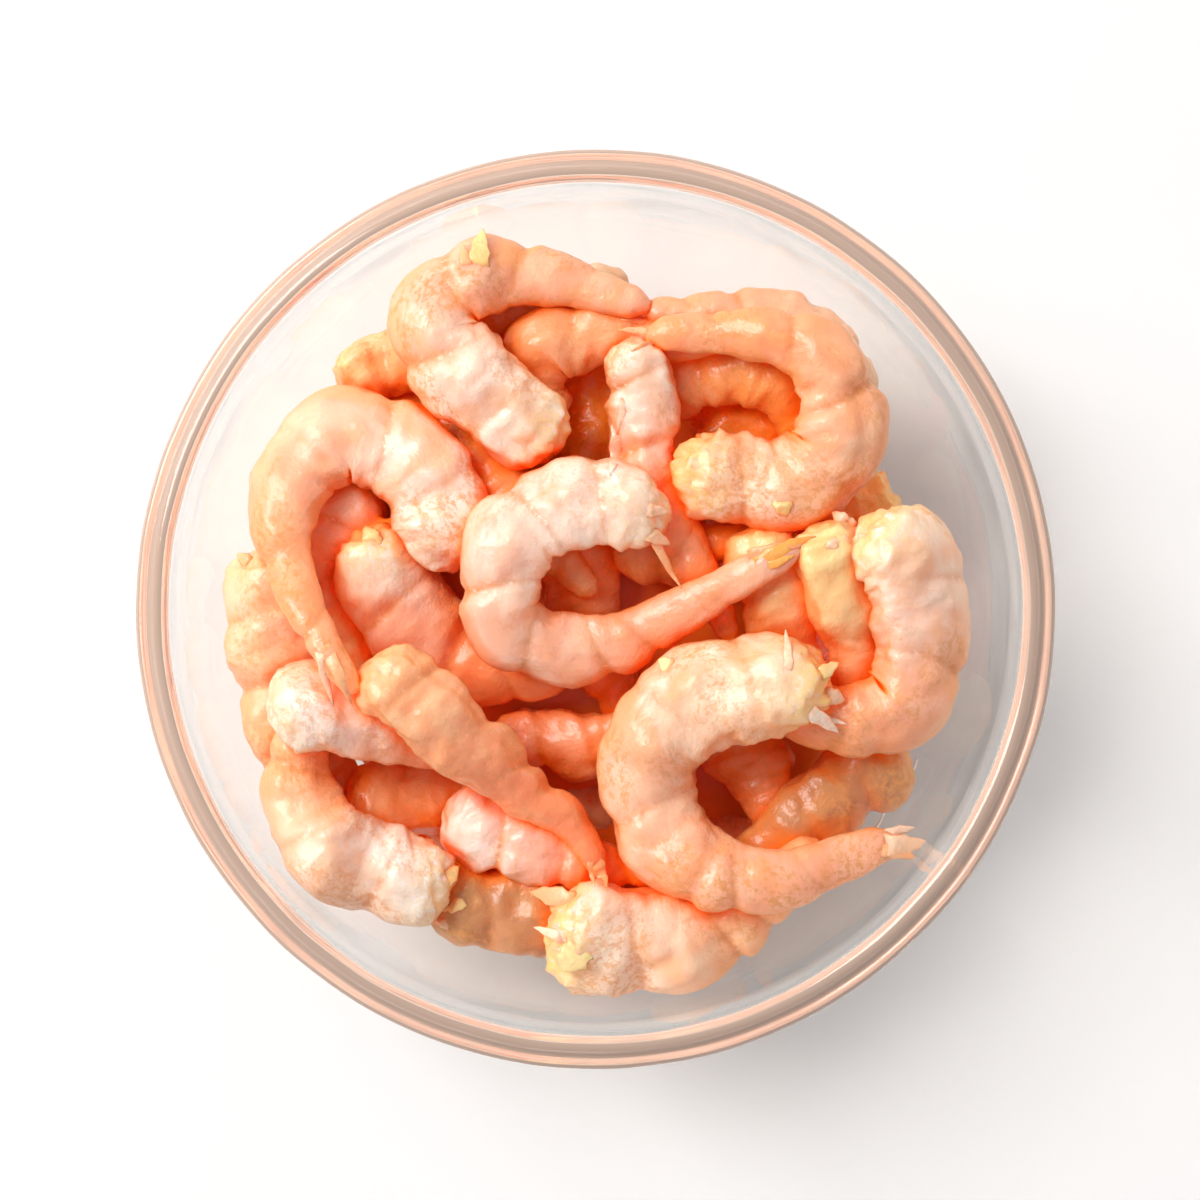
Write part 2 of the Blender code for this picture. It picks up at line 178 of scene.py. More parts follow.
def pressed(piece):
    """Gives the glass the slight waves that pressing leaves in it."""
    for vertex in piece.data.vertices:
        wave = noise.noise(vertex.co / (WAVE_LENGTH * MM))
        outward = Vector((vertex.co.x, vertex.co.y, 0)).normalized()
        vertex.co += outward * (WAVE_DEPTH * MM * wave)


bowl = turned("clear_glass_bowl", bowl_section(), TURN_STEPS)
made_real(bowl)
pressed(bowl)
bowl.data.materials.append(clear_glass("clear_pressed_glass", GLASS_TINT, 1.0))
# The rim's own glass, whose peach tint is a painted reflection of the shrimp
bowl.data.materials.append(clear_glass("rim_glass_painted_reflection", RIM_REFLECTION_TINT, RIM_CLEARNESS))
for face in bowl.data.polygons:
    x, y, z = face.center / MM
    face.material_index = int(z > RIM_REFLECTION_START and math.hypot(x, y) > MOUTH_RADIUS)
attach(bowl, "root")
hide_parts("glass_bowl")

# The lower shrimp
# Raw shrimp with head, shell and vein taken off, curled up as they were dropped in. These lie at the
# bottom, in rings against the glass, and are seen through it. Each is one closed skin, let down on
# what already lies there, and it leans and droops until it rests.
WALL_GAP = 0.9
PRESS_IN = 1.5
SOFT_SHARE = 20
BEND_LIMIT = 1 / 24
LEAN_LIMIT = math.radians(32)
LEAN_REACH = 9.0
LAY_STATIONS = 121
UNDERSIDE = np.radians(np.linspace(-172, -8, 19))
UPPER_SIDE = np.radians(np.linspace(0, 180, 31))
CURVE_STEPS = 12
STATIONS = (0.00, 0.02, 0.07, 0.16, 0.30, 0.45, 0.60, 0.70, 0.80, 0.90, 0.96, 1.00)
DEPTHS = (0.35, 0.70, 0.93, 1.00, 1.00, 0.94, 0.80, 0.66, 0.55, 0.46, 0.38, 0.12)
THICKNESS = 0.78
INNER_LIMIT = 0.85
LOWER_RINGS = ((5, 24.0, 48.0, 140.0), (7, 37.0, 52.0, 150.0))
LOWER_HALF_DEPTH = 5.5
LOWER_SCATTER = 25.0
LOWER_SPREAD = 0.3
LOWER_GRID = (90, 32)      # rows of points along the skin, and points round it
LOWER_RAGGED = 0.5
SEED = 7
CORE_GAP = 4.0
CORE_EDGE = 16.0
CORE_TOP = 23.0

# Flesh colours as the light shows them, from creamy white to a dusky orange; the dusky one is painted shade
# for shrimp in the heap's shadow
MILK = (0.98, 0.86, 0.77)
WHITE = (0.98, 0.72, 0.58)
CREAM = (0.98, 0.63, 0.43)
PEACH = (0.98, 0.46, 0.24)
PINK = (0.98, 0.40, 0.24)
SALMON = (0.97, 0.33, 0.16)
CORAL = (0.98, 0.28, 0.13)
ORANGE = (0.97, 0.35, 0.07)
YELLOW = (0.98, 0.68, 0.29)
DUSKY_IN_SHADE = (0.50, 0.19, 0.08)


def wall_height(radius):
    """Height of the inner wall over a radius: a quarter of a squarish ellipse."""
    share = np.clip(radius / MOUTH_RADIUS, 0, 1) ** ROUNDNESS
    return MOUTH_HEIGHT - (MOUTH_HEIGHT - FLOOR_HEIGHT) * (1 - share) ** (1 / ROUNDNESS)


def wall_radius(height):
    """Radius of the inner wall at a height."""
    share = np.clip((MOUTH_HEIGHT - height) / (MOUTH_HEIGHT - FLOOR_HEIGHT), 0, 1)
    return MOUTH_RADIUS * (1 - share ** ROUNDNESS) ** (1 / ROUNDNESS)


def glass_height(x, y):
    """The lowest that anything in the bowl may reach over a place."""
    return wall_height(np.hypot(x, y) + WALL_GAP) + WALL_GAP


def core_top(radius):
    """Height of the core's low dome over a radius."""
    share = np.clip(radius / (wall_radius(CORE_EDGE) - CORE_GAP), 0, 1)
    return CORE_EDGE + (CORE_TOP - CORE_EDGE) * np.cos(share * math.pi / 2)


def centreline(points, samples):
    """A smooth line through the points, cut into even steps: places, side directions and bending."""
    p = np.array(points, float)
    p = np.vstack((2 * p[0] - p[1], p, 2 * p[-1] - p[-2]))
    pieces = []
    for a, b, c, d in zip(p, p[1:], p[2:], p[3:]):
        f = np.linspace(0, 1, CURVE_STEPS, endpoint=False)[:, None]
        cubic = 2 * b + (c - a) * f + (2 * a - 5 * b + 4 * c - d) * f ** 2
        pieces.append((cubic + (3 * b - a - 3 * c + d) * f ** 3) / 2)
    fine = np.vstack(pieces + [p[-2:-1]])
    run = np.concatenate(([0], np.cumsum(np.hypot(*np.diff(fine, axis=0).T))))
    along = np.linspace(0, run[-1], samples)
    place = np.column_stack([np.interp(along, run, fine[:, k]) for k in (0, 1)])
    heading = np.unwrap(np.arctan2(*np.gradient(place, axis=0).T[::-1]))
    side = np.column_stack((-np.sin(heading), np.cos(heading)))
    bending = np.gradient(heading, along)
    return along, place, side, bending


def curled_points(x, y, heading, turn, length):
    """Middle line of a plain curled shrimp: an arc, given by its middle and its middle heading."""
    angle = np.radians(heading + turn * np.linspace(-0.5, 0.5, 6))
    step = length / 5
    middle = (angle[1:] + angle[:-1]) / 2
    xs = np.concatenate(([0], np.cumsum(np.cos(middle)) * step))
    ys = np.concatenate(([0], np.cumsum(np.sin(middle)) * step))
    return tuple(zip(x + xs - xs.mean(), y + ys - ys.mean()))


class Pile:
    """The surface that the next shrimp comes down on, as heights over a square grid."""

    REACH = 66
    CELL = 1.0

    def __init__(self):
        count = int(2 * self.REACH / self.CELL) + 1
        self.height = np.full((count, count), -1.0)

    def cells(self, x, y):
        """Rows and columns of the grid at some places."""
        limit = self.height.shape[0] - 1
        column = np.clip(np.rint((x + self.REACH) / self.CELL).astype(int), 0, limit)
        row = np.clip(np.rint((y + self.REACH) / self.CELL).astype(int), 0, limit)
        return row, column

    def under(self, x, y):
        """Height of whatever is higher at a place: the pile so far, or the glass and its gap."""
        return np.maximum(self.height[self.cells(x, y)], glass_height(x, y))

    def add(self, x, y, z):
        """Raises the pile to these points."""
        np.maximum.at(self.height, self.cells(x, y), z)

    def add_core(self):
        """Raises the pile to the core's dome."""
        axis = np.linspace(-self.REACH, self.REACH, self.height.shape[0])
        radius = np.hypot(*np.meshgrid(axis, axis))
        inside = radius < wall_radius(CORE_EDGE) - CORE_GAP
        self.height = np.maximum(self.height, np.where(inside, core_top(radius), -1))


def oval(half, lean, angles):
    """Points round the leaning oval sections: how far out to the side and how far up each one is."""
    depth = half[:, None] * np.cos(angles)
    height = THICKNESS * half[:, None] * np.sin(angles)
    cosine = np.cos(lean)[:, None]
    sine = np.sin(lean)[:, None]
    return depth * cosine - height * sine, depth * sine + height * cosine


def lay(pile, points, half_depth):
    """Lets one shrimp down on the pile: its middle height and its lean, station by station."""
    along, place, side, bending = centreline(points, LAY_STATIONS)
    half = half_depth * np.interp(along / along[-1], STATIONS, DEPTHS)
    blur = np.exp(-((along[:, None] - along) / LEAN_REACH) ** 2)
    blur = blur / blur.sum(axis=1)[:, None]

    def seen_from_above(out):
        return place[:, :1] + side[:, :1] * out, place[:, 1:] + side[:, 1:] * out

    out, up = oval(half, np.zeros_like(half), UNDERSIDE)
    rest = pile.under(*seen_from_above(out)) - up
    slope = (rest * out).sum(axis=1) / (out ** 2).sum(axis=1)
    lean = blur @ np.clip(np.arctan(slope), -LEAN_LIMIT, LEAN_LIMIT)
    out, up = oval(half, lean, UNDERSIDE)
    x, y = seen_from_above(out)
    need = np.percentile(pile.under(x, y) - up, 100 - SOFT_SHARE, axis=1) - PRESS_IN
    drop = (along[:, None] - along) ** 2 * BEND_LIMIT / 2
    middle = (need[None, :] - drop).max(axis=1)
    middle = np.maximum(middle, blur @ middle)
    middle = np.maximum(middle, (glass_height(x, y) - up).max(axis=1))
    out, up = oval(half, lean, UPPER_SIDE)
    pile.add(*seen_from_above(out), middle[:, None] + up)
    return along, place, side, bending, middle, lean


# One body: its muscle segments, as long as a share of its depth, and the grooves between them
SEGMENT_LENGTH = 1.6
LAST_JOINTS = (0.69, 0.84)
JOINT_MARGIN = 0.06        # the even segments stop this share of the length before the last ones
JOINT_SCATTER = 1.0
GROOVE_WIDTH = 1.0
GROOVE_DEPTH = 0.85
GROOVE_RANGE = (0.3, 1.2)
LINE_WIDTH = 0.5
GROOVE_SWEEP = 2.8         # how far a groove runs forward from the back to the belly
SWELL = 0.65
SWELL_RANGE = (0.5, 1.2)
SWELL_SHIFT = 0.85         # below 1 the fullest place of a segment lies before its middle
FLANK_LINE = 1.05          # where the back muscle meets the flank, in radians from the back
FLANK_WIDTH = 0.16
FLANK_DEPTH = 0.32
BELLY_WIDTH = 0.35
BELLY_DEPTH = 0.55
SLIM_END = 0.72            # towards this share of the length the relief fades out
SLIM_RUN = 0.2
SLIM_LEAST = 0.25
TAIL_START = 0.4
TAIL_RUN = 0.3
LUMPS = ((8.0, 1.0), (3.6, 0.80), (1.8, 0.34), (1.0, 0.10))
HEAD_LUMPS = ((3.2, 1.5), (1.3, 0.9))
HEAD_REACH = 5.5
HEAD_ROUND = 1.0           # how far back the cut end is rounded, as a share of the half depth
HEAD_FLAT = 0.55
SMOOTH_HEAD = 0.25         # how rough even a clean cut is, as a share of a ragged one
CUT_RINGS = (0.0, 0.35, 0.62, 0.84)
CUT_BULGE = 0.10
ROW_CROWDING = 0.05        # draws the rows of points together at both ends
SKIN_SEED = 1000
PATTERN_STEP = 57.0        # sets the pattern of one shrimp apart from the next


def girth(share):
    """Half depth along the body as a share of the deepest, with the corners of the table rounded."""
    fine = np.linspace(-0.1, 1.1, 601)
    kernel = np.exp(-(np.linspace(-3, 3, 25) ** 2) / 2)
    rounded = np.convolve(np.interp(fine, STATIONS, DEPTHS), kernel / kernel.sum(), mode="same")
    return np.interp(share, fine, rounded)


def lumps(x, y, z, size, shift):
    """Smooth random lumps of one size over the points, about -0.5 to 0.5."""
    spots = zip((x / size + shift).ravel(), (y / size).ravel(), (z / size).ravel())
    return np.array([noise.noise(spot) for spot in spots]).reshape(x.shape)


def shrimp_skin(laid, half_depth, rows, sides, shift, ragged, tail_width=1.0):
    """The skin of one peeled shrimp: its points, its faces, and what the finish needs to know there."""
    draw = np.random.default_rng(SKIN_SEED + shift)
    roughness = SMOOTH_HEAD + (1 - SMOOTH_HEAD) * ragged
    along, place, side, bending, middle, lean = laid
    share = np.linspace(0, 1, rows)
    share = share - ROW_CROWDING * np.sin(2 * math.pi * share)
    ring = np.concatenate((CUT_RINGS[1:], np.ones(rows - 1)))
    share = np.concatenate((np.zeros(len(CUT_RINGS) - 1), share[:-1]))
    at = (share * along[-1])[:, None]
    turn = np.linspace(0, 2 * math.pi, sides, endpoint=False)[None, :]
    backward = -1.0 if bending.mean() > 0 else 1.0
    back = (1 + np.cos(turn)) / 2

    corner = 1 - np.clip(at / (HEAD_ROUND * half_depth), 0, 1)
    rounding = HEAD_FLAT + (1 - HEAD_FLAT) * np.sqrt(1 - corner ** 2)
    narrow = 1 - (1 - tail_width) * np.clip((share[:, None] - TAIL_START) / TAIL_RUN, 0, 1)
    half = half_depth * np.minimum(girth(share)[:, None], rounding) * narrow
    depth = half * np.cos(turn)
    height = THICKNESS * half * np.sin(turn)
    grow = np.zeros((len(share), sides))
    edge = np.zeros_like(grow)
    length = along[-1]
    step = SEGMENT_LENGTH * half_depth
    joints = list(np.arange(step, (LAST_JOINTS[0] - JOINT_MARGIN) * length, step))
    joints += [joint * length for joint in LAST_JOINTS]
    for start, joint in zip([0.0] + joints, joints):
        line = joint - GROOVE_SWEEP * (1 - back) + draw.uniform(-JOINT_SCATTER, JOINT_SCATTER)
        groove = np.exp(-((at - line) / GROOVE_WIDTH) ** 2)
        strength = draw.uniform(*GROOVE_RANGE) * (0.2 + 0.8 * back)
        grow -= GROOVE_DEPTH * strength * groove
        edge = np.maximum(edge, np.exp(-((at - line) / LINE_WIDTH) ** 2) * np.clip(strength, 0, 1))
        swell = np.clip((at - start) / (joint - start), 0, 1)
        fullness = SWELL * draw.uniform(*SWELL_RANGE)
        grow += fullness * np.sin(math.pi * swell ** SWELL_SHIFT) * (0.35 + 0.65 * back)
    slim = np.clip((SLIM_END - share[:, None]) / SLIM_RUN, SLIM_LEAST, 1)
    away = np.abs((turn + math.pi) % (2 * math.pi) - math.pi)
    flank = np.exp(-((away - FLANK_LINE) / FLANK_WIDTH) ** 2)
    grow -= FLANK_DEPTH * slim * flank
    grow -= BELLY_DEPTH * slim * np.exp(-((away - math.pi) / BELLY_WIDTH) ** 2)

    shift_mm = PATTERN_STEP * shift
    for size, rise in LUMPS:
        grow += rise * (0.4 + 0.6 * slim) * lumps(at + 0 * turn, depth, height, size, shift_mm)
    head = np.exp(-(at / HEAD_REACH) ** 2) * np.ones_like(grow)
    poke = np.zeros_like(grow)
    for size, rise in HEAD_LUMPS:
        rough = lumps(at + 0 * turn, depth * ring[:, None], height * ring[:, None], size, shift_mm + 9)
        grow += 0.5 * rise * roughness * head * rough
        poke -= rise * roughness * head * rough
    scale = half / half_depth
    depth = (depth + grow * scale ** 0.5 * np.cos(turn)) * ring[:, None] * backward
    height = (height + grow * scale ** 0.5 * np.sin(turn)) * ring[:, None]
    poke -= (1 - ring[:, None] ** 2) * CUT_BULGE * half_depth

    bend = np.interp(at, along, bending)
    limit = INNER_LIMIT / np.maximum(np.abs(bend), 1e-6)
    depth = np.where(depth * bend > 0, np.sign(depth) * np.minimum(np.abs(depth), limit), depth)
    tilt = np.interp(at, along, lean)
    out = depth * np.cos(tilt) - height * np.sin(tilt)
    up = depth * np.sin(tilt) + height * np.cos(tilt)
    centre = [np.interp(at, along, values) for values in (*place.T, *side.T, middle)]
    x = centre[0] + centre[2] * out + centre[3] * poke
    y = centre[1] + centre[3] * out - centre[2] * poke
    z = centre[4] + up

    def with_ends(values, first, last):
        return np.concatenate(([first], np.broadcast_to(values, grow.shape).ravel(), [last]))

    tip = (place[-1, 0], place[-1, 1], middle[-1])
    ends = [(grid[0].mean(), point) for grid, point in zip((x, y, z), tip)]
    points = np.column_stack([with_ends(grid, *end) for grid, end in zip((x, y, z), ends)])
    faces = []
    count = len(share)
    for i in range(sides):
        j = (i + 1) % sides
        faces.append((0, 1 + j, 1 + i))
        for row in range(count - 1):
            a = 1 + row * sides
            faces.append((a + i, a + j, a + sides + j, a + sides + i))
        a = 1 + (count - 1) * sides
        faces.append((a + i, a + j, a + sides))
    if backward < 0:
        faces = [face[::-1] for face in faces]
    facts = {
        "share": with_ends(share[:, None], 0, 1),
        "back": with_ends(back, 0.5, 0.5),
        "groove": with_ends(edge, 0, 0),
        "head": with_ends(head, 1, 0),
        "grain": np.column_stack((
            with_ends(at + shift_mm, shift_mm, shift_mm + along[-1]),
            with_ends(depth, 0, 0), with_ends(height, 0, 0))),
    }
    return points, faces, facts


def mixed(first, second, share):
    """A colour between two, one for each share."""
    return np.array(first)[None, :] * (1 - share[:, None]) + np.array(second)[None, :] * share[:, None]


class Heap:
    """Skins gathered into one mesh, with the facts the finish reads at each point."""

    # Two of these carry painted shade: one for the gaps where flesh is hidden, and turned, for sides turned
    # away from above
    NUMBERS = ("groove", "speckle", "residue", "painted_gap_shade", "turned")
    TONE_START = 0.08
    TONE_RUN = 0.55
    TAIL_PIGMENT_START = 0.62

    def __init__(self, name):
        self.name = name
        self.points, self.faces, self.facts, self.count = [], [], [], 0

    def add(self, skin, tone, speckle, residue):
        """Adds one skin with its head and tail colours and how much pigment and residue it has."""
        points, faces, facts = skin
        self.faces += [tuple(self.count + i for i in face) for face in faces]
        self.count += len(points)
        self.points.append(points)
        facts = dict(facts)
        share = facts["share"]
        facts["tone"] = mixed(*tone, np.clip((share - self.TONE_START) / self.TONE_RUN, 0, 1))
        on_tail = share > self.TAIL_PIGMENT_START
        facts["speckle"] = speckle * (0.5 + 0.5 * facts["back"] + 0.3 * on_tail)
        facts["residue"] = residue * facts["head"]
        self.facts.append(facts)

    def piece(self):
        """The finished object. Its painted gap shade and painted side shade come later, when all of them
        are there.
        """
        points = np.vstack(self.points)
        mesh = bpy.data.meshes.new(self.name)
        mesh.from_pydata((points * MM).tolist(), [], self.faces)
        mesh.shade_smooth()
        table = {key: np.concatenate([facts[key] for facts in self.facts]) for key in
                 ("groove", "speckle", "residue", "tone", "grain")}
        table["painted_gap_shade"] = np.zeros(len(points))
        table["turned"] = np.zeros(len(points))
        for key in self.NUMBERS:
            mesh.attributes.new(key, "FLOAT", "POINT").data.foreach_set("value", table[key])
        colours = np.column_stack((table["tone"], np.ones(len(points))))
        mesh.attributes.new("tone", "FLOAT_COLOR", "POINT").data.foreach_set("color", colours.ravel())
        grain = table["grain"].ravel()
        mesh.attributes.new("grain", "FLOAT_VECTOR", "POINT").data.foreach_set("vector", grain)
        made = bpy.data.objects.new(self.name, mesh)
        bpy.context.scene.collection.objects.link(made)
        return made


def mix_colour(tree, amount, first, second, way="MIX"):
    """Two colours mixed by an amount; each of the three may be a value or another node's output."""
    made = tree.nodes.new("ShaderNodeMix")
    made.data_type = "RGBA"
    made.blend_type = way
    for index, value in ((0, amount), (6, first), (7, second)):
        if isinstance(value, bpy.types.NodeSocket):
            tree.links.new(value, made.inputs[index])
        else:
            made.inputs[index].default_value = value
    return made.outputs[2]


def calculate(tree, operation, first, second):
    """One step of arithmetic on two numbers or outputs."""
    made = tree.nodes.new("ShaderNodeMath")
    made.operation = operation
    for socket, value in zip(made.inputs, (first, second)):
        if isinstance(value, bpy.types.NodeSocket):
            tree.links.new(value, socket)
        else:
            socket.default_value = value
    return made.outputs[0]


# What lies in and on the flesh, the painted shade on its sides and in its gaps, and how far light of each
# colour runs in it
CLOUD = (0.98, 0.96, 0.92, 1)
BLUSH = (0.96, 0.42, 0.15, 1)
PAINTED_SIDE_SHADE_ORANGE = (0.98, 0.42, 0.13, 1)
VEIN = (0.80, 0.34, 0.13, 1)
PIGMENT = (0.80, 0.32, 0.10, 1)
JOINT_LINE = (0.72, 0.25, 0.08, 1)
YELLOW_RESIDUE = (0.95, 0.60, 0.20, 1)
PAINTED_GAP_SHADE_ORANGE = (1.0, 0.20, 0.006, 1)
LIGHT_SPREAD = (1.0, 0.26, 0.08)
RELIEF = 0.00045


def raw_flesh(name, light_depth):
    """Raw shrimp flesh: clouded and wet, with pigment, joint lines, yellow scraps at the cut, and painted
    shade in orange where it is hidden or turned away.
    """
    finish, tree, flesh = new_material(name)

    def read(fact, kind="Fac"):
        made = tree.nodes.new("ShaderNodeAttribute")
        made.attribute_name = fact
        return made.outputs[kind]

    def ramp(value, low, high, most=1.0):
        made = add_node(tree, "ShaderNodeMapRange", Value=value, From_Min=low, From_Max=high, To_Max=most)
        made.interpolation_type = "SMOOTHSTEP"
        return made.outputs["Result"]

    grain = read("grain", "Vector")
    clouds = add_node(tree, "ShaderNodeTexNoise", Vector=grain, Scale=0.17, Detail=1.0)
    specks = add_node(tree, "ShaderNodeTexNoise", Vector=grain, Scale=0.95, Detail=2.0, Roughness=0.7)
    patches = add_node(tree, "ShaderNodeTexNoise", Vector=grain, Scale=0.12, Detail=0.0)
    veins = add_node(tree, "ShaderNodeTexNoise", Vector=grain, Scale=0.34, Detail=2.0)
    wrinkles = add_node(tree, "ShaderNodeTexNoise", Vector=grain, Scale=0.85, Detail=2.0,
                        Roughness=0.65)

    milky = ramp(clouds.outputs["Fac"], 0.44, 0.66, 0.45)
    colour = mix_colour(tree, milky, read("tone", "Color"), CLOUD, "SOFT_LIGHT")
    blush = calculate(tree, "MULTIPLY", ramp(clouds.outputs["Fac"], 0.54, 0.36, 0.6), read("speckle"))
    colour = mix_colour(tree, blush, colour, BLUSH)
    # Painted side shade: skin turned away from above is mixed towards orange
    colour = mix_colour(tree, read("turned"), colour, PAINTED_SIDE_SHADE_ORANGE)
    patch = ramp(patches.outputs["Fac"], 0.42, 0.58)
    ridge = calculate(tree, "ABSOLUTE", calculate(tree, "SUBTRACT", veins.outputs["Fac"], 0.5), 0.0)
    vein = calculate(tree, "MULTIPLY", ramp(ridge, 0.022, 0.0, 0.70), patch)
    vein = calculate(tree, "MULTIPLY", vein, read("speckle"))
    colour = mix_colour(tree, vein, colour, VEIN)
    marks = calculate(tree, "MULTIPLY", ramp(specks.outputs["Fac"], 0.47, 0.62, 0.85), read("speckle"))
    colour = mix_colour(tree, calculate(tree, "MULTIPLY", marks, patch), colour, PIGMENT)
    lines = calculate(tree, "MULTIPLY", ramp(specks.outputs["Fac"], 0.31, 0.46), read("groove"))
    colour = mix_colour(tree, lines, colour, JOINT_LINE)
    scraps = calculate(tree, "MULTIPLY", ramp(wrinkles.outputs["Fac"], 0.32, 0.52), read("residue"))
    colour = mix_colour(tree, scraps, colour, YELLOW_RESIDUE)
    # Painted gap shade: hidden flesh is mixed towards deep orange
    colour = mix_colour(tree, read("painted_gap_shade"), colour, PAINTED_GAP_SHADE_ORANGE)
    tree.links.new(colour, flesh.inputs["Base Color"])

    flesh.subsurface_method = "BURLEY"
    flesh.inputs["Subsurface Weight"].default_value = 0.5
    flesh.inputs["Subsurface Radius"].default_value = LIGHT_SPREAD
    flesh.inputs["Subsurface Scale"].default_value = light_depth
    flesh.inputs["Roughness"].default_value = 0.32
    flesh.inputs["Specular IOR Level"].default_value = 0.35
    flesh.inputs["Coat Weight"].default_value = 0.30
    flesh.inputs["Coat Roughness"].default_value = 0.14
    relief = add_node(tree, "ShaderNodeBump", Strength=0.6, Distance=RELIEF,
                      Height=wrinkles.outputs["Fac"])
    tree.links.new(relief.outputs["Normal"], flesh.inputs["Normal"])
    return finish


def dress(piece, finish):
    """What every piece of the heap shares: finish, place on the frame, and what it stands for."""
    piece.data.materials.append(finish)
    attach(piece, "root")
    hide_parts("shrimp_heap")


pile = Pile()
lower = Heap("lower_shrimp_at_the_glass")
draw = np.random.default_rng(SEED)
for count, radius, length, turn in LOWER_RINGS:
    for i in range(count):
        angle = 360 * (i + LOWER_SPREAD * draw.random()) / count
        x = radius * math.cos(math.radians(angle))
        y = radius * math.sin(math.radians(angle))
        heading = angle + 90 + draw.uniform(-LOWER_SCATTER, LOWER_SCATTER)
        points = curled_points(x, y, heading, turn * draw.choice((-1, 1)), length)
        laid = lay(pile, points, LOWER_HALF_DEPTH)
        skin = shrimp_skin(laid, LOWER_HALF_DEPTH, *LOWER_GRID, len(lower.points), LOWER_RAGGED)
        lower.add(skin, (CREAM, PEACH), 0.5, 0.3)
pile.add_core()

# The core of the heap
# The shrimp in the middle that nobody sees, as one body of the same flesh. It stays clear of the
# glass and shows only between the ones that lie on it, in a saturated orange that is painted shade.
CORE_STEPS = 96
# Painted shade: the core's two oranges stand for the shade deep in the heap
CORE_SHADE_ORANGES = ((1.0, 0.12, 0.006, 1), (1.0, 0.24, 0.02, 1))

bottom = FLOOR_HEIGHT + CORE_GAP
core_wall = [(wall_radius(z) - CORE_GAP, z) for z in np.linspace(bottom, CORE_EDGE, 10)]
core_dome = [(radius, core_top(radius)) for radius in np.linspace(core_wall[-1][0], 0, 20)]
core = turned("heap_core", core_dome[::-1] + core_wall[-2::-1] + [(0.0, bottom)], CORE_STEPS)


def deep_flesh_in_painted_shade():
    """The flesh deep in the heap: uneven and wet, in a saturated orange that is painted shade."""
    finish, tree, flesh = new_material("deep_shrimp_flesh_painted_shade")
    place = add_node(tree, "ShaderNodeTexCoord")
    clouds = add_node(tree, "ShaderNodeTexNoise", Vector=place.outputs["Object"], Scale=140.0, Detail=4.0)
    colour = mix_colour(tree, clouds.outputs["Fac"], *CORE_SHADE_ORANGES)
    tree.links.new(colour, flesh.inputs["Base Color"])
    flesh.inputs["Roughness"].default_value = 0.35
    relief = add_node(tree, "ShaderNodeBump", Strength=0.6, Distance=0.001, Height=clouds.outputs["Fac"])
    tree.links.new(relief.outputs["Normal"], flesh.inputs["Normal"])
    return finish


dress(core, deep_flesh_in_painted_shade())

